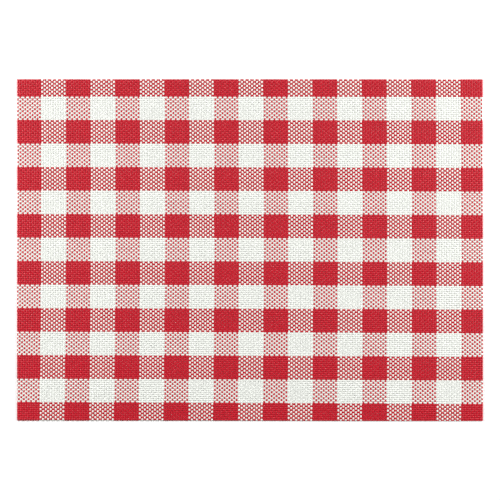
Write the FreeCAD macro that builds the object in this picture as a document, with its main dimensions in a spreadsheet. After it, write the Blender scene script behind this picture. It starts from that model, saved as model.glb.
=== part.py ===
"""Woven vinyl placemat in a red and white gingham check, as a parametric FreeCAD document.

The mat is cut from a plain-weave cloth of coated yarns: warps run along Y, wefts run along X,
and each yarn passes over one crossing yarn and under the next. Every yarn is a solid of its
own, and the yarns of one colour stripe share a sub-part. Lengths are in millimetres, +Z is up
and the origin is the centre of the underside. Warps are counted from the left edge (-X) and
wefts from the near edge (-Y).
"""
import FreeCAD, Part
import math
import os

# Driving sizes: alias, value and what it sets.
SIZES = [
    ("mat_length", 450.0, "cut size of the mat along X"),
    ("mat_width", 330.0, "cut size of the mat along Y"),
    ("warp_pitch", 2.388, "centre to centre of neighbouring warps"),
    ("weft_pitch", 1.897, "centre to centre of neighbouring wefts"),
    ("warp_gap", 0.688, "open space between neighbouring warps"),
    ("weft_gap", 0.197, "open space between neighbouring wefts"),
    ("yarn_thickness", 0.38, "thickness of a coated yarn at the middle of its section"),
    ("crossing_gap", 0.02, "clearance between two yarns where they cross"),
    ("warp_stripe_count", 10, "warps in a full colour stripe"),
    ("weft_stripe_count", 12, "wefts in a full colour stripe"),
    ("warp_edge_count", 10, "warps in the colour stripe at the left edge"),
    ("weft_edge_count", 9, "wefts in the colour stripe at the near edge"),
    ("warp_edge_cut", 1.0, "how far the left edge cuts into the first warp's cell"),
    ("weft_edge_cut", 0.04, "how far the near edge cuts into the first weft's cell"),
    ("least_sliver", 0.3, "a cut yarn narrower than this falls out of the mat"),
]

# The edge stripes are red, and the colours take turns from there.
COLOURS = ("red", "white")

# Each strip of skin is straight across, which keeps the volume of even a coarse mesh, and a
# smooth wave along.
SECTION_DEGREE = 1
WAVE_DEGREE = 3
# A uniform cubic spline through alternating poles swings a third as far as its poles do.
POLE_REACH = 3.0
POLES_BEYOND_END = 2

# How closely two borders must agree to be one, in millimetres.
JOIN_TOLERANCE = 1e-6
# How far a yarn's volume may be off, as a share of it.
VOLUME_TOLERANCE = 1e-6


def add_sheet(doc):
    """The spreadsheet that holds every driving size under its alias."""
    sheet = doc.addObject("Spreadsheet::Sheet", "Sizes")
    for row, (alias, value, meaning) in enumerate(SIZES, start=1):
        sheet.set(f"A{row}", alias)
        sheet.set(f"B{row}", str(value))
        sheet.set(f"C{row}", meaning)
        sheet.setAlias(f"B{row}", alias)
    doc.recompute()
    return sheet


class Yarns:
    """The yarns of one direction, worked out from the sheet.

    "Across" is measured over the yarns and "along" down their length.
    """

    def __init__(self, sheet, name, crossed, across_size, along_size):
        self.name = name
        self.span = sheet.get(across_size)
        self.run = sheet.get(along_size)
        self.pitch = sheet.get(f"{name}_pitch")
        self.width = self.pitch - sheet.get(f"{name}_gap")
        self.edge_cut = sheet.get(f"{name}_edge_cut")
        self.edge_count = int(sheet.get(f"{name}_edge_count"))
        self.stripe_count = int(sheet.get(f"{name}_stripe_count"))
        self.crossed_pitch = sheet.get(f"{crossed}_pitch")
        self.crossed_cut = sheet.get(f"{crossed}_edge_cut")
        self.least_sliver = sheet.get("least_sliver")
        self.half_thickness = sheet.get("yarn_thickness") / 2
        self.swing = self.half_thickness + sheet.get("crossing_gap") / 2

    def point(self, along, across, rise):
        """A point in the mat's axes."""
        if self.name == "warp":
            return FreeCAD.Vector(across, along, rise)
        return FreeCAD.Vector(along, across, rise)

    def side_of_cloth(self, index, crossed_index):
        """+1 where a yarn passes over a crossing yarn, -1 where it passes under.

        The first warp passes under the first weft.
        """
        parity = (index + crossed_index) % 2
        if self.name == "warp":
            return 1 if parity == 1 else -1
        return 1 if parity == 0 else -1

    def sides(self, index):
        """The two sides of a yarn that the mat's cut leaves, measured from its middle."""
        middle = (index + 0.5) * self.pitch - self.edge_cut
        low = max(-self.width / 2, -middle)
        high = min(self.width / 2, self.span - middle)
        return low, high

    def stripes(self):
        """The yarns that the cut leaves in the mat, as a list of indices for each stripe."""
        grouped = {}
        for index in range(math.ceil((self.span + self.edge_cut) / self.pitch)):
            low, high = self.sides(index)
            if high - low < self.least_sliver:
                continue
            stripe = 0
            if index >= self.edge_count:
                stripe = 1 + (index - self.edge_count) // self.stripe_count
            grouped.setdefault(stripe, []).append(index)
        return list(grouped.values())

    def section_sides(self, index):
        """Where a yarn's section has its corners: its sides, and the ridge if the cut leaves it."""
        low, high = self.sides(index)
        return [low, 0, high] if low < 0 < high else [low, high]

    def section_height(self, side):
        """Half height of the diamond section: full at the ridge and nothing at the sides."""
        return self.half_thickness * (1 - 2 * abs(side) / self.width)

    def section_area(self, index):
        """Area of a yarn's diamond section between the sides that the cut leaves."""
        corners = self.section_sides(index)
        heights = [self.section_height(side) for side in corners]
        strips = zip(corners, corners[1:], heights, heights[1:])
        return sum((right - left) * (low + high) for left, right, low, high in strips)


def yarn_strip(yarns, index, facing, left, right):
    """A strip of a yarn's top skin (facing +1) or bottom skin (facing -1).

    Both its borders have a pole at each crossing. The poles run on past the yarn's ends, and
    the strip is cut to the yarn's run at the last.
    """
    first_crossing = yarns.crossed_pitch / 2 - yarns.crossed_cut
    before = math.floor(-first_crossing / yarns.crossed_pitch) - POLES_BEYOND_END
    after = math.ceil((yarns.run - first_crossing) / yarns.crossed_pitch) + POLES_BEYOND_END
    crossings = range(before, after + 1)

    poles = []
    for side in (left, right):
        height = facing * yarns.section_height(side)
        row = []
        for crossing in crossings:
            along = first_crossing + crossing * yarns.crossed_pitch
            rise = POLE_REACH * yarns.swing * yarns.side_of_cloth(index, crossing)
            row.append(yarns.point(along, side, rise + height))
        poles.append(row)

    knot_count = len(crossings) + WAVE_DEGREE + 1
    first_knot = first_crossing + (before - (WAVE_DEGREE + 1) / 2) * yarns.crossed_pitch
    wave_knots = [first_knot + knot * yarns.crossed_pitch for knot in range(knot_count)]
    strip = Part.BSplineSurface()
    strip.buildFromPolesMultsKnots(
        poles,
        [SECTION_DEGREE + 1, SECTION_DEGREE + 1],
        [1] * knot_count,
        [left, right],
        wave_knots,
        False,
        False,
        SECTION_DEGREE,
        WAVE_DEGREE,
    )
    strip.segment(left, right, 0, yarns.run)
    return strip


def closing_faces(uppers, lowers):
    """The flat face between upper and lower curves along one border, or none where they meet."""
    middles = []
    for upper, lower in zip(uppers, lowers):
        middle = (upper.FirstParameter + upper.LastParameter) / 2
        middles.append(upper.value(middle).distanceToPoint(lower.value(middle)))
    if max(middles) < JOIN_TOLERANCE:
        return []
    edges = [curve.toShape() for curve in uppers + lowers]
    for upper, lower, end in (
        (uppers[0], lowers[0], uppers[0].FirstParameter),
        (uppers[-1], lowers[-1], uppers[-1].LastParameter),
    ):
        if upper.value(end).distanceToPoint(lower.value(end)) > JOIN_TOLERANCE:
            edges.append(Part.makeLine(upper.value(end), lower.value(end)))
    return [Part.Face(Part.Wire(Part.sortEdges(edges)[0]))]


def make_yarn(yarns, index):
    """One coated yarn, its middle on the line across = 0 and its first end at along = 0."""
    corners = yarns.section_sides(index)
    spans = list(zip(corners, corners[1:]))
    top = [yarn_strip(yarns, index, 1, left, right) for left, right in spans]
    bottom = [yarn_strip(yarns, index, -1, left, right) for left, right in spans]
    faces = [strip.toShape() for strip in top + bottom]
    for along in (0, yarns.run):
        uppers = [strip.vIso(along) for strip in top]
        lowers = [strip.vIso(along) for strip in bottom]
        faces += closing_faces(uppers, lowers)
    faces += closing_faces([top[0].uIso(corners[0])], [bottom[0].uIso(corners[0])])
    faces += closing_faces([top[-1].uIso(corners[-1])], [bottom[-1].uIso(corners[-1])])
    shell = Part.makeShell(faces)
    shell.sewShape()
    yarn = Part.makeSolid(shell)
    if yarn.Volume < 0:
        yarn.reverse()
    return yarn


def add_stripe(doc, yarns, number, indices):
    """One colour stripe: its yarns side by side, with the stripe's place bound to the sheet.

    Each strip of a yarn's skin is one exact spline down the whole wave, which no sketched
    feature makes, so the stripe's shape is set here from the sheet's sizes.
    """
    colour = COLOURS[number % len(COLOURS)]
    label = f"{yarns.name}_stripe_{colour}_{number // len(COLOURS) + 1:02d}"
    solids = []
    for place, index in enumerate(indices):
        yarn = make_yarn(yarns, index)
        yarn.translate(yarns.point(0, (place + 0.5) * yarns.pitch, 0))
        solids.append(yarn)
    stripe = doc.addObject("Part::Feature", label)
    stripe.Label = label
    stripe.Shape = Part.makeCompound(solids)

    edge = f"{indices[0]} * Sizes.{yarns.name}_pitch - Sizes.{yarns.name}_edge_cut"
    across, along = ("x", "y") if yarns.name == "warp" else ("y", "x")
    half_size = {"x": "Sizes.mat_length / 2", "y": "Sizes.mat_width / 2"}
    stripe.setExpression(f"Placement.Base.{across}", f"{edge} - {half_size[across]}")
    stripe.setExpression(f"Placement.Base.{along}", f"-{half_size[along]}")
    stripe.setExpression("Placement.Base.z", "Sizes.yarn_thickness + Sizes.crossing_gap / 2")
    return stripe


def check_object(item):
    """Stop if the document marks an object as failed."""
    if {"Invalid", "Error"} & set(item.State):
        raise RuntimeError(f"{item.Label} failed: {item.State}")


def check_stripe(stripe, yarns, indices):
    """Stop if a stripe isn't the sound, separate yarns that it should be."""
    shape = stripe.Shape
    if shape.isNull() or not shape.isValid():
        raise RuntimeError(f"{stripe.Label} has no valid shape")
    if len(shape.Solids) != len(indices):
        raise RuntimeError(f"{stripe.Label} has {len(shape.Solids)} solids")
    for solid, index in zip(shape.Solids, indices):
        expected = yarns.section_area(index) * yarns.run
        if abs(solid.Volume - expected) > VOLUME_TOLERANCE * expected:
            raise RuntimeError(f"{stripe.Label}: a yarn of {solid.Volume} is not {expected}")


def main():
    doc = FreeCAD.newDocument("gingham_placemat")
    sheet = add_sheet(doc)
    stripes = []
    for yarns in (
        Yarns(sheet, "warp", "weft", "mat_length", "mat_width"),
        Yarns(sheet, "weft", "warp", "mat_width", "mat_length"),
    ):
        for number, indices in enumerate(yarns.stripes()):
            stripes.append((add_stripe(doc, yarns, number, indices), yarns, indices))
    doc.recompute()

    for item in doc.Objects:
        check_object(item)
    for stripe, yarns, indices in stripes:
        check_stripe(stripe, yarns, indices)

    os.makedirs("parts", exist_ok=True)
    for stripe, _, indices in stripes:
        stripe.Shape.exportStep(f"parts/{stripe.Label}.step")
        print(f"{stripe.Label}: {len(indices)} yarns, {stripe.Shape.Volume:.0f} mm3")


main()
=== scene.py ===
"""The finished look of the woven placemat, built on its CAD frame and laid out as an add-on.

Every coated yarn of the cloth is modelled one by one, over one crossing yarn and under the
next, with the slight pull that a cut piece of cloth has. Lengths are in metres unless a name
says otherwise. +X runs along the long side, +Y along the short side and +Z up.
"""
import math

import bpy
import numpy as np
from bpy.props import FloatProperty, FloatVectorProperty, IntProperty, PointerProperty
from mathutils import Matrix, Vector


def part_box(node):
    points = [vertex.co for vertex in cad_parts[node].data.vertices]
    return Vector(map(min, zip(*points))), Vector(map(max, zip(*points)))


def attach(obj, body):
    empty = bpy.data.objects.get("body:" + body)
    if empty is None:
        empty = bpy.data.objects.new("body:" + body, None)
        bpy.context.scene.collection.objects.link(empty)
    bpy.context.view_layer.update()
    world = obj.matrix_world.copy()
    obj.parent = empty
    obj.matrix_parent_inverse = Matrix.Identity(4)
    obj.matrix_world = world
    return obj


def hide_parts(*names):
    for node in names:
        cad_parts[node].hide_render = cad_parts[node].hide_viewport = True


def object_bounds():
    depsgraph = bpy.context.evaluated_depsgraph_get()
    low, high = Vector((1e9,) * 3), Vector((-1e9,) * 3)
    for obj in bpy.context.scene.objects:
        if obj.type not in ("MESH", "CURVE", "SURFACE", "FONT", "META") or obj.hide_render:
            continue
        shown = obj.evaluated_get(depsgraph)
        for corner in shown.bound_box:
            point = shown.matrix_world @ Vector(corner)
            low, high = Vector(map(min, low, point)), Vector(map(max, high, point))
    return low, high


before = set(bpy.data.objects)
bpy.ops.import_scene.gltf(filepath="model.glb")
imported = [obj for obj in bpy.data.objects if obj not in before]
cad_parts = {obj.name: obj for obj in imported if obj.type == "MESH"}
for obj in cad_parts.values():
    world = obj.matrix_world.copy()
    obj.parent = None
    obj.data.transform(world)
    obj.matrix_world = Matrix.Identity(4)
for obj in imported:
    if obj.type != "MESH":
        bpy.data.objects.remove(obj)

CAD_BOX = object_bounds()
MM = 0.001

bl_info = {
    "name": "Gingham placemat",
    "version": (1, 0, 0),
    "blender": (4, 5, 0),
    "location": "3D View > Sidebar > Placemat",
    "description": "Weaves a vinyl placemat around its CAD frame",
    "category": "Object",
}


# ---------------------------------------------------------------------------------------------
# Colours and nodes
# ---------------------------------------------------------------------------------------------


def linear(hex_colour):
    """An sRGB hex colour such as "#C02A38" as linear red, green and blue."""
    channels = [int(hex_colour[i : i + 2], 16) / 255 for i in (1, 3, 5)]
    return tuple(c / 12.92 if c <= 0.04045 else ((c + 0.055) / 1.055) ** 2.4 for c in channels)


def add_node(tree, kind, values=None, links=None, **settings):
    """Add a node with its settings, its input values and its incoming links."""
    node = tree.nodes.new(kind)
    for name, value in settings.items():
        setattr(node, name, value)
    for name, value in (values or {}).items():
        node.inputs[name].default_value = value
    for name, socket in (links or {}).items():
        tree.links.new(socket, node.inputs[name])
    return node


# ---------------------------------------------------------------------------------------------
# What a user can change
# ---------------------------------------------------------------------------------------------


class PLACEMAT_PG_weave(bpy.types.PropertyGroup):
    """The yarns in the cloth, beyond what the frame already fixes."""

    warps_per_stripe: IntProperty(
        name="Warps per stripe", description="Warps in a full colour stripe", default=10, min=1
    )
    wefts_per_stripe: IntProperty(
        name="Wefts per stripe", description="Wefts in a full colour stripe", default=12, min=1
    )
    yarn_thickness: FloatProperty(
        name="Yarn thickness",
        description="Thickness of a coated yarn at its middle",
        default=0.37 * MM,
        unit="LENGTH",
    )
    steps_per_crossing: IntProperty(
        name="Steps per crossing",
        description="Rings of points along a yarn from one crossing to the next",
        default=3,
        min=2,
    )
    wander: FloatProperty(
        name="Wander",
        description="How far a yarn strays sideways from its straight line",
        default=0.05 * MM,
        unit="LENGTH",
    )
    width_variation: FloatProperty(
        name="Width variation",
        description="Share by which yarns differ in width",
        default=0.03,
        subtype="FACTOR",
    )
    smallest_sliver: FloatProperty(
        name="Smallest sliver",
        description="Width that is left of a yarn where the edge is cut down its length",
        default=0.3 * MM,
        unit="LENGTH",
    )
    warp_width_share: FloatProperty(
        name="Warp width",
        description="Width of a drawn-in warp as a share of its CAD width",
        default=0.9,
        subtype="FACTOR",
    )
    weft_width_share: FloatProperty(
        name="Weft width",
        description="Width of a flattened weft as a share of its CAD width",
        default=1.04,
        subtype="FACTOR",
    )
    core_share: FloatProperty(
        name="Core share",
        description="Size of the polyester core in a yarn's cut end",
        default=0.45,
        subtype="FACTOR",
    )


class PLACEMAT_PG_pull(bpy.types.PropertyGroup):
    """How the cloth was pulled before the mat was cut from it."""

    warp_bow: FloatProperty(
        name="Warp bow",
        description="How far the warps bow to the right in mid length",
        default=0.7 * MM,
        unit="LENGTH",
    )
    warp_fan: FloatProperty(
        name="Warp fan",
        description="How far the outer warps spread apart towards the near edge",
        default=0.6 * MM,
        unit="LENGTH",
    )
    weft_skew: FloatProperty(
        name="Weft skew",
        description="How far the wefts drop from the middle to the right edge",
        default=0.45 * MM,
        unit="LENGTH",
    )
    stripe_spread: FloatProperty(
        name="Stripe spread",
        description="Share by which white warp stripes are wider than the average",
        default=0.013,
        subtype="FACTOR",
    )


class PLACEMAT_PG_vinyl(bpy.types.PropertyGroup):
    """Colours and finish of the coated yarns."""

    red: FloatVectorProperty(
        name="Red coat", description="Pigmented red PVC", subtype="COLOR", default=linear("#C20D25")
    )
    white: FloatVectorProperty(
        name="White coat", description="White PVC", subtype="COLOR", default=linear("#EEF0EA")
    )
    core: FloatVectorProperty(
        name="Core", description="Polyester filaments", subtype="COLOR", default=linear("#E8E4D8")
    )
    roughness: FloatProperty(
        name="Roughness", description="Semi-gloss of the coat", default=0.42, subtype="FACTOR"
    )


class PLACEMAT_PG_studio(bpy.types.PropertyGroup):
    """Camera, floor and lights."""

    mat_share: FloatProperty(
        name="Mat share",
        description="Share of the picture's width that the mat fills",
        default=0.932,
        subtype="FACTOR",
    )
    lens_mm: FloatProperty(name="Lens", description="Focal length in millimetres", default=85.0)
    floor_size: FloatProperty(
        name="Floor size", description="Side of the square floor", default=6.0, unit="LENGTH"
    )
    left_light: FloatProperty(
        name="Left light", description="Power of the left softbox", default=41.5, unit="POWER"
    )
    right_light: FloatProperty(
        name="Right light", description="Power of the right softbox", default=42.0, unit="POWER"
    )
    top_light: FloatProperty(
        name="Top light", description="Power of the overhead softbox", default=1.0, unit="POWER"
    )
    floor_glow: FloatProperty(
        name="Floor glow", description="Light that the backlit floor gives off", default=0.13
    )
    sky: FloatProperty(
        name="Fill", description="Light that comes evenly from the backdrop", default=0.04
    )


# ---------------------------------------------------------------------------------------------
# Where the yarns lie
# ---------------------------------------------------------------------------------------------


class Yarns:
    """The yarns of one direction, worked out from the boxes of their CAD stripes."""

    def __init__(self, name, across, per_stripe):
        self.name = name
        self.across = across
        nodes = [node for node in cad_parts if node.startswith(name)]
        self.nodes = sorted(nodes, key=lambda node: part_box(node)[0][across])
        lows = [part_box(node)[0][across] for node in self.nodes]
        highs = [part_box(node)[1][across] for node in self.nodes]
        self.pitch = (lows[2] - lows[1]) / per_stripe
        self.width = highs[1] - lows[1] - (per_stripe - 1) * self.pitch
        counts = [math.ceil((high - low) / self.pitch) for low, high in zip(lows, highs)]
        self.firsts = np.concatenate([[0], np.cumsum(counts)])
        self.first_centre = lows[1] + self.width / 2 - counts[0] * self.pitch
        self.half_span = max(abs(lows[0]), abs(highs[-1]))

    def indices(self, stripe):
        """The yarn numbers of a stripe."""
        return np.arange(self.firsts[stripe], self.firsts[stripe + 1])

    def centre(self, index):
        """Where a yarn's middle lies before the cloth is pulled."""
        return self.first_centre + index * self.pitch


def pull_across_warps(x, y, half_x, half_y, pull):
    """How far the cloth is pulled along X at a point: a bow, and a fan towards the near edge."""
    right = x / half_x
    near = -y / half_y
    bow = pull.warp_bow * (0.5 - near**2 - 0.3 * near)
    fan = pull.warp_fan * (near + 0.5 * near**2 - 0.25) * right
    return bow + fan


def pull_across_wefts(x, y, half_x, half_y, pull):
    """How far the cloth is pulled along Y: the wefts drop to the right, most at the near edge."""
    right = x / half_x
    near = -y / half_y
    return -pull.weft_skew * ((1.4 + 0.9 * near) * right + 0.4 * right**2 - 0.2)


def stripe_spread(x, warps, pull):
    """How far a warp moves because white stripes are a little wider than red ones."""
    stripe_width = warps.pitch * (warps.firsts[2] - warps.firsts[1])
    boundary = warps.centre(warps.firsts[1]) - warps.pitch / 2
    turns = (x - boundary) / stripe_width - 0.5
    triangle = 2 * np.abs(2 * ((turns / 2 + 0.25) % 1) - 1) - 1
    return -triangle * pull.stripe_spread * stripe_width / 2


class Cloth:
    """Both directions of yarn, and how they are pulled and cut."""

    def __init__(self, settings):
        self.weave = settings.weave
        self.pull = settings.pull
        self.warps = Yarns("warp", 0, self.weave.warps_per_stripe)
        self.wefts = Yarns("weft", 1, self.weave.wefts_per_stripe)
        self.half_x = CAD_BOX[1][0]
        self.half_y = CAD_BOX[1][1]
        self.middle_z = (CAD_BOX[0][2] + CAD_BOX[1][2]) / 2
        self.half_thickness = self.weave.yarn_thickness / 2
        self.swing = CAD_BOX[1][2] - self.middle_z - self.half_thickness

    def pulled(self, x, y):
        """A point of the loom's straight grid, moved to where the pulled cloth has it."""
        along_x = pull_across_warps(x, y, self.half_x, self.half_y, self.pull)
        along_x = along_x + stripe_spread(x, self.warps, self.pull)
        along_y = pull_across_wefts(x, y, self.half_x, self.half_y, self.pull)
        return x + along_x, y + along_y


# ---------------------------------------------------------------------------------------------
# Yarn meshes
# ---------------------------------------------------------------------------------------------

# How far a yarn strays sideways, as waves of these lengths added up.
STRAY_LENGTHS = (0.31, 0.12, 0.047)
# Rounds of moving an end until the pull puts it on the cut.
END_ROUNDS = 4
# Height that is left at a cut side, as a share of half the yarn's thickness.
CUT_SIDE_SHARE = 0.04

# Points of a yarn's section across its width, from one side (-1) to the other (+1). A yarn cut
# down its length has two more points below, so that its cut side can stand upright.
TOP = np.array([-1.0, -0.62, 0.0, 0.62, 1.0])
BOTTOM = np.array([0.5, -0.5])
CUT_BOTTOM = np.array([1.0, 0.5, -0.5, -1.0])
SECTION_ROUNDNESS = 2.4
END_STEPS = 3
END_ZONE = 2.2 * MM


def section_height(u):
    """Half height of the section across its width, as a share of the height at its middle."""
    return 1 - np.abs(u) ** SECTION_ROUNDNESS


def yarn_rings(cloth, yarns, crossed, indices, chance):
    """Rings of points down some yarns, as an array (yarn, ring, point, xyz).

    The top points come first, from the low side to the high one, then the bottom points back.
    """
    weave = cloth.weave
    is_warp = yarns.name == "warp"
    half_run = cloth.half_y if is_warp else cloth.half_x
    half_span = cloth.half_x if is_warp else cloth.half_y
    centre = yarns.centre(indices)[:, None]

    # The ends, taken back through the pull so that the cut comes out straight.
    ends = []
    for side in (-half_run, half_run):
        end = np.full_like(centre, side)
        for _ in range(END_ROUNDS):
            moved = cloth.pulled(centre, end)[1] if is_warp else cloth.pulled(end, centre)[0]
            end = end + (side - moved)
        ends.append(end)

    step = crossed.pitch / weave.steps_per_crossing
    first = math.ceil((-half_run + END_ZONE - crossed.first_centre) / step)
    last = math.floor((half_run - END_ZONE - crossed.first_centre) / step)
    inner = crossed.first_centre + np.arange(first, last + 1) * step
    inner = np.broadcast_to(inner, (len(indices), len(inner)))
    shares = np.arange(END_STEPS) / END_STEPS
    start = ends[0] + (inner[:, :1] - ends[0]) * shares
    finish = ends[1] + (inner[:, -1:] - ends[1]) * shares[::-1]
    along = np.concatenate([start, inner, finish], axis=1)

    # A slow stray to the side, and a slightly different width for each yarn.
    stray = np.zeros_like(along)
    for length in STRAY_LENGTHS:
        phase = chance.uniform(0, 2 * math.pi, (len(indices), 1))
        stray += np.sin(2 * math.pi * along / length + phase) / len(STRAY_LENGTHS)
    share = weave.warp_width_share if is_warp else weave.weft_width_share
    width = 1 + weave.width_variation * chance.uniform(-1, 1, (len(indices), 1))
    width = width * share * yarns.width
    across = centre + weave.wander * stray

    # The wave: over a crossing yarn where both numbers add up to an odd number for a warp.
    turns = (along - crossed.first_centre) / crossed.pitch
    parity = np.where(indices % 2 == (1 if is_warp else 0), 1, -1)[:, None]
    rise = cloth.swing * parity * np.cos(math.pi * turns)

    if is_warp:
        x, y = cloth.pulled(across, along)
        run, line = y, x
    else:
        x, y = cloth.pulled(along, across)
        run, line = x, y
    half_width = width / 2
    sliver = weave.smallest_sliver
    line = np.clip(line, -half_span - half_width + sliver, half_span + half_width - sliver)
    low = np.maximum(-1, (-half_span - line) / half_width)
    high = np.minimum(1, (half_span - line) / half_width)

    is_cut = bool((low > -1).any() or (high < 1).any())
    bottom = CUT_BOTTOM if is_cut else BOTTOM
    u = low[..., None] + (high - low)[..., None] * (np.concatenate([TOP, bottom]) + 1) / 2
    height = cloth.half_thickness * section_height(u)
    if is_cut:
        height = np.maximum(height, CUT_SIDE_SHARE * cloth.half_thickness)
    height[..., len(TOP) :] *= -1
    side = line[..., None] + u * half_width[..., None]
    run = np.broadcast_to(run[..., None], side.shape)
    z = cloth.middle_z + rise[..., None] + height
    order = (side, run, z) if is_warp else (run, side, z)
    return np.stack(order, axis=-1)


def yarn_mesh(batches, tones, name, is_warp, core_share):
    """One mesh of whole yarns: a skin round each, and a coat rim and a core disc on its ends.

    The core discs take the second material, and the tone of a yarn is stored at its points.
    """
    points, skins, rims, cores, tone_values = [], [], [], [], []
    used = 0
    for rings, tone in zip(batches, tones):
        yarn_count, ring_count, size, _ = rings.shape
        number = used + np.arange(yarn_count * ring_count * size).reshape(rings.shape[:3])
        here = number[:, :-1]
        after = number[:, 1:]
        skin = [here, np.roll(here, -1, axis=2), np.roll(after, -1, axis=2), after]
        skins.append(np.stack(skin, axis=-1).reshape(-1, 4)[:, :: 1 if is_warp else -1])
        points.append(rings.reshape(-1, 3))
        tone_values.append(np.repeat(tone, ring_count * size))
        used += yarn_count * ring_count * size

        for end, forward in ((0, not is_warp), (ring_count - 1, is_warp)):
            ring = rings[:, end]
            middle = ring.mean(axis=1, keepdims=True)
            points.append((middle + core_share * (ring - middle)).reshape(-1, 3))
            tone_values.append(np.repeat(tone, size))
            inner = used + np.arange(yarn_count * size).reshape(yarn_count, size)
            used += yarn_count * size
            outer = number[:, end]
            rim = [outer, np.roll(outer, -1, axis=1), np.roll(inner, -1, axis=1), inner]
            step = 1 if forward else -1
            rims.append(np.stack(rim, axis=-1).reshape(-1, 4)[:, ::step])
            cores += inner[:, ::step].tolist()

    skins = np.concatenate(skins)
    rims = np.concatenate(rims)
    mesh = bpy.data.meshes.new(name)
    mesh.from_pydata(np.concatenate(points), [], skins.tolist() + rims.tolist() + cores)
    smooth = np.zeros(len(mesh.polygons), dtype=bool)
    smooth[: len(skins)] = True
    mesh.polygons.foreach_set("use_smooth", smooth)
    slots = np.zeros(len(mesh.polygons), dtype=np.int32)
    slots[len(skins) + len(rims) :] = 1
    mesh.polygons.foreach_set("material_index", slots)
    attribute = mesh.attributes.new("tone", "FLOAT", "POINT")
    attribute.data.foreach_set("value", np.concatenate(tone_values).astype(np.float32))
    mesh.update()
    return mesh


def weave_stripe(cloth, yarns, crossed, stripe, materials):
    """One colour stripe: all its yarns as a single piece in place of the CAD stripe."""
    node = yarns.nodes[stripe]
    colour, number = node.split("_")[2:]
    name = f"{colour}_{yarns.name}s_{number}"
    is_warp = yarns.name == "warp"
    chance = np.random.default_rng(100 * stripe + (7 if is_warp else 53))

    # A yarn at the edge of the cloth may be cut down its length, and gets its own batch.
    indices = yarns.indices(stripe)
    edges = (0, yarns.firsts[-1] - 1)
    groups = [indices[~np.isin(indices, edges)]] + [np.array([e]) for e in edges if e in indices]
    batches = [yarn_rings(cloth, yarns, crossed, group, chance) for group in groups]
    tones = [chance.uniform(-1, 1, len(group)) for group in groups]
    mesh = yarn_mesh(batches, tones, name, is_warp, cloth.weave.core_share)
    mesh.materials.append(materials[colour])
    mesh.materials.append(materials["core"])

    piece = bpy.data.objects.new(name, mesh)
    bpy.context.scene.collection.objects.link(piece)
    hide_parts(node)
    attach(piece, "root")

    return piece


# ---------------------------------------------------------------------------------------------
# Materials
# ---------------------------------------------------------------------------------------------


# Share by which yarns differ in brightness, and by which one yarn clouds.
TONE_SHARE = 0.015
# How much rougher or smoother the die lines make the coat.
LINE_ROUGHNESS = 0.06


def vinyl_coat(name, colour, vinyl, yarn_axis):
    """Semi-gloss PVC drawn through a die over a yarn, then calendered and heat-set in the weave.

    The pigment is through and through, so the colour only mottles a little. The die leaves fine
    lines down the yarn, which break the highlight up, and the heat-set skin has a faint orange
    peel, which keeps it from looking like polished plastic.
    """
    material = bpy.data.materials.new(name)
    material.use_nodes = True
    tree = material.node_tree
    tree.nodes.clear()
    place = add_node(tree, "ShaderNodeTexCoord").outputs["Object"]
    tone = add_node(tree, "ShaderNodeAttribute", attribute_name="tone").outputs["Fac"]

    # Yarns differ by up to 1.5 % in brightness, and one yarn clouds by as much over 6 mm.
    cloud = add_node(
        tree, "ShaderNodeTexNoise", {"Scale": 1 / (6 * MM), "Detail": 2.0}, {"Vector": place}
    )
    by_yarn = add_node(
        tree,
        "ShaderNodeMath",
        {1: TONE_SHARE, 2: 1 - TONE_SHARE},
        {0: tone},
        operation="MULTIPLY_ADD",
    )
    by_cloud = add_node(
        tree,
        "ShaderNodeMath",
        {1: 2 * TONE_SHARE},
        {0: cloud.outputs["Fac"], 2: by_yarn.outputs["Value"]},
        operation="MULTIPLY_ADD",
    )
    tint = add_node(
        tree,
        "ShaderNodeHueSaturation",
        {"Color": (*colour, 1.0)},
        {"Value": by_cloud.outputs["Value"]},
    )

    # Die lines 0.15 mm apart that run on for about 9 mm down the yarn.
    fine, coarse = 1 / (0.15 * MM), 1 / (9 * MM)
    stretch = (coarse, fine, fine) if yarn_axis == 0 else (fine, coarse, fine)
    stretched = add_node(tree, "ShaderNodeMapping", {"Scale": stretch}, {"Vector": place})
    lines = add_node(
        tree,
        "ShaderNodeTexNoise",
        {"Scale": 1.0, "Detail": 1.0},
        {"Vector": stretched.outputs["Vector"]},
    )
    peel = add_node(
        tree, "ShaderNodeTexNoise", {"Scale": 1 / (0.4 * MM), "Detail": 1.0}, {"Vector": place}
    )
    rough = add_node(
        tree,
        "ShaderNodeMapRange",
        {
            "To Min": vinyl.roughness - LINE_ROUGHNESS,
            "To Max": vinyl.roughness + LINE_ROUGHNESS,
        },
        {"Value": lines.outputs["Fac"]},
    )
    line_bump = add_node(
        tree,
        "ShaderNodeBump",
        {"Strength": 0.5, "Distance": 0.008 * MM},
        {"Height": lines.outputs["Fac"]},
    )
    bump = add_node(
        tree,
        "ShaderNodeBump",
        {"Strength": 0.5, "Distance": 0.01 * MM},
        {"Height": peel.outputs["Fac"], "Normal": line_bump.outputs["Normal"]},
    )
    shader = add_node(
        tree,
        "ShaderNodeBsdfPrincipled",
        {"IOR": 1.53},
        {
            "Base Color": tint.outputs["Color"],
            "Roughness": rough.outputs["Result"],
            "Normal": bump.outputs["Normal"],
        },
    )
    add_node(tree, "ShaderNodeOutputMaterial", links={"Surface": shader.outputs["BSDF"]})
    return material


def polyester_core(colour):
    """Bundle of matt polyester filaments, cut across, so the yarn's end shows a dull pale core."""
    material = bpy.data.materials.new("polyester_filaments_cut_across")
    material.use_nodes = True
    shader = material.node_tree.nodes["Principled BSDF"]
    shader.inputs["Base Color"].default_value = (*colour, 1.0)
    shader.inputs["Roughness"].default_value = 0.85
    shader.inputs["IOR"].default_value = 1.57
    return material


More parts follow.
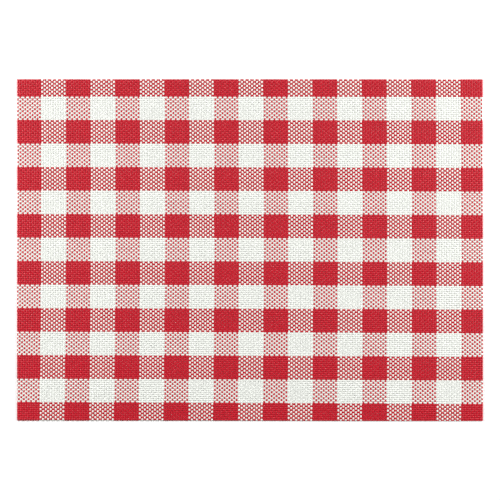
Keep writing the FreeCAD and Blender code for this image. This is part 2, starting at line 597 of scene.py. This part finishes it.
def plain_white(name, colour, glow=0.0):
    """Matt white sheet, lit so brightly that it shows as pure white."""
    material = bpy.data.materials.new(name)
    material.use_nodes = True
    shader = material.node_tree.nodes["Principled BSDF"]
    shader.inputs["Base Color"].default_value = (*colour, 1.0)
    shader.inputs["Roughness"].default_value = 0.9
    shader.inputs["Emission Color"].default_value = (1.0, 1.0, 1.0, 1.0)
    shader.inputs["Emission Strength"].default_value = glow
    return material


# ---------------------------------------------------------------------------------------------
# Stage
# ---------------------------------------------------------------------------------------------


# Softboxes: where each stands and the side of its square.
SIDE_SOFTBOX_OUT = 1.5
SIDE_SOFTBOX_BACK = 0.4
SIDE_SOFTBOX_UP = 0.55
SIDE_SOFTBOX_SIZE = 0.6
OVERHEAD_SOFTBOX_PLACE = (0, 0.2, 1.9)
OVERHEAD_SOFTBOX_SIZE = 1.2


def softbox(name, place, size, watts):
    """A square soft light at a place, turned towards the mat and unseen by the camera."""
    data = bpy.data.lights.new(name, "AREA")
    data.shape = "SQUARE"
    data.size = size
    data.energy = watts
    lamp = bpy.data.objects.new(name, data)
    lamp.location = place
    lamp.rotation_euler = (-Vector(place)).to_track_quat("-Z", "Y").to_euler()
    lamp.visible_camera = False
    bpy.context.scene.collection.objects.link(lamp)
    return lamp


def set_floor(studio):
    """A plain white floor under the mat."""
    half = studio.floor_size / 2
    corners = [(-half, -half, 0.0), (half, -half, 0.0), (half, half, 0.0), (-half, half, 0.0)]
    mesh = bpy.data.meshes.new("floor")
    mesh.from_pydata(corners, [], [(0, 1, 2, 3)])
    mesh.materials.append(plain_white("matt_white_paper", (0.95, 0.95, 0.95), studio.floor_glow))
    floor = bpy.data.objects.new("floor", mesh)
    bpy.context.scene.collection.objects.link(floor)


def set_camera(studio):
    """A camera straight above the middle of the mat, with the far side up in the picture."""
    data = bpy.data.cameras.new("camera")
    data.lens = studio.lens_mm
    data.sensor_width = 36.0
    data.dof.use_dof = False
    picture_width = 2 * CAD_BOX[1][0] / studio.mat_share
    camera = bpy.data.objects.new("camera", data)
    camera.location = (0, 0, CAD_BOX[1][2] + picture_width * data.lens / data.sensor_width)
    bpy.context.scene.collection.objects.link(camera)
    bpy.context.scene.camera = camera


def set_world(studio):
    """A white backdrop all round, which lights the mat only faintly."""
    world = bpy.data.worlds.new("white_backdrop")
    world.use_nodes = True
    tree = world.node_tree
    seen = add_node(tree, "ShaderNodeLightPath").outputs["Is Camera Ray"]
    strength = add_node(
        tree,
        "ShaderNodeMapRange",
        {"To Min": studio.sky, "To Max": 1.0},
        {"Value": seen},
    )
    background = tree.nodes["Background"]
    background.inputs["Color"].default_value = (1.0, 1.0, 1.0, 1.0)
    tree.links.new(strength.outputs["Result"], background.inputs["Strength"])
    bpy.context.scene.world = world
    bpy.context.scene.view_settings.view_transform = "Standard"
    bpy.context.scene.view_settings.look = "None"


# ---------------------------------------------------------------------------------------------
# Operators and panel
# ---------------------------------------------------------------------------------------------


class PLACEMAT_PG_settings(bpy.types.PropertyGroup):
    """All the placemat's settings."""

    weave: PointerProperty(type=PLACEMAT_PG_weave)
    pull: PointerProperty(type=PLACEMAT_PG_pull)
    vinyl: PointerProperty(type=PLACEMAT_PG_vinyl)
    studio: PointerProperty(type=PLACEMAT_PG_studio)


def coats(vinyl, direction, yarn_axis):
    """The coats of one direction's yarns and the core that shows in their ends."""
    return {
        "red": vinyl_coat(f"red_pvc_coat_drawn_on_{direction}", vinyl.red, vinyl, yarn_axis),
        "white": vinyl_coat(f"white_pvc_coat_drawn_on_{direction}", vinyl.white, vinyl, yarn_axis),
        "core": polyester_core(vinyl.core),
    }


class PLACEMAT_OT_weave_warps(bpy.types.Operator):
    """Weave the stripes that run from the near side to the far one"""

    bl_idname = "placemat.weave_warps"
    bl_label = "Weave warps"

    def execute(self, context):
        cloth = Cloth(context.scene.placemat)
        materials = coats(context.scene.placemat.vinyl, "warps", 1)
        for stripe in range(len(cloth.warps.nodes)):
            weave_stripe(cloth, cloth.warps, cloth.wefts, stripe, materials)
        return {"FINISHED"}


class PLACEMAT_OT_weave_wefts(bpy.types.Operator):
    """Weave the stripes that run from left to right"""

    bl_idname = "placemat.weave_wefts"
    bl_label = "Weave wefts"

    def execute(self, context):
        cloth = Cloth(context.scene.placemat)
        materials = coats(context.scene.placemat.vinyl, "wefts", 0)
        for stripe in range(len(cloth.wefts.nodes)):
            weave_stripe(cloth, cloth.wefts, cloth.warps, stripe, materials)
        return {"FINISHED"}


class PLACEMAT_OT_set_stage(bpy.types.Operator):
    """Lay the floor, set the lights and hang the camera above the mat"""

    bl_idname = "placemat.set_stage"
    bl_label = "Set stage"

    def execute(self, context):
        studio = context.scene.placemat.studio
        set_floor(studio)
        left = (-SIDE_SOFTBOX_OUT, SIDE_SOFTBOX_BACK, SIDE_SOFTBOX_UP)
        right = (SIDE_SOFTBOX_OUT, SIDE_SOFTBOX_BACK, SIDE_SOFTBOX_UP)
        softbox("left_softbox", left, SIDE_SOFTBOX_SIZE, studio.left_light)
        softbox("right_softbox", right, SIDE_SOFTBOX_SIZE, studio.right_light)
        softbox(
            "overhead_softbox", OVERHEAD_SOFTBOX_PLACE, OVERHEAD_SOFTBOX_SIZE, studio.top_light
        )
        set_camera(studio)
        set_world(studio)
        return {"FINISHED"}


class PLACEMAT_PT_build(bpy.types.Panel):
    """Lists the steps of the build and their settings."""

    bl_label = "Placemat"
    bl_idname = "PLACEMAT_PT_build"
    bl_space_type = "VIEW_3D"
    bl_region_type = "UI"
    bl_category = "Placemat"

    def draw(self, context):
        for operator in OPERATORS:
            self.layout.operator(operator.bl_idname)
        settings = context.scene.placemat
        for group in (settings.weave, settings.pull, settings.vinyl, settings.studio):
            box = self.layout.box()
            for name in group.__annotations__:
                box.prop(group, name)


OPERATORS = (PLACEMAT_OT_weave_warps, PLACEMAT_OT_weave_wefts, PLACEMAT_OT_set_stage)
CLASSES = (
    PLACEMAT_PG_weave,
    PLACEMAT_PG_pull,
    PLACEMAT_PG_vinyl,
    PLACEMAT_PG_studio,
    PLACEMAT_PG_settings,
    *OPERATORS,
    PLACEMAT_PT_build,
)


def register():
    """Add the classes and the scene's settings."""
    for each in CLASSES:
        bpy.utils.register_class(each)
    bpy.types.Scene.placemat = PointerProperty(type=PLACEMAT_PG_settings)


def unregister():
    """Take the classes and the settings away again."""
    del bpy.types.Scene.placemat
    for each in reversed(CLASSES):
        bpy.utils.unregister_class(each)


def main():
    """Build everything in order."""
    register()
    bpy.ops.placemat.weave_warps()
    bpy.ops.placemat.weave_wefts()
    bpy.ops.placemat.set_stage()


if __name__ == "__main__":
    main()
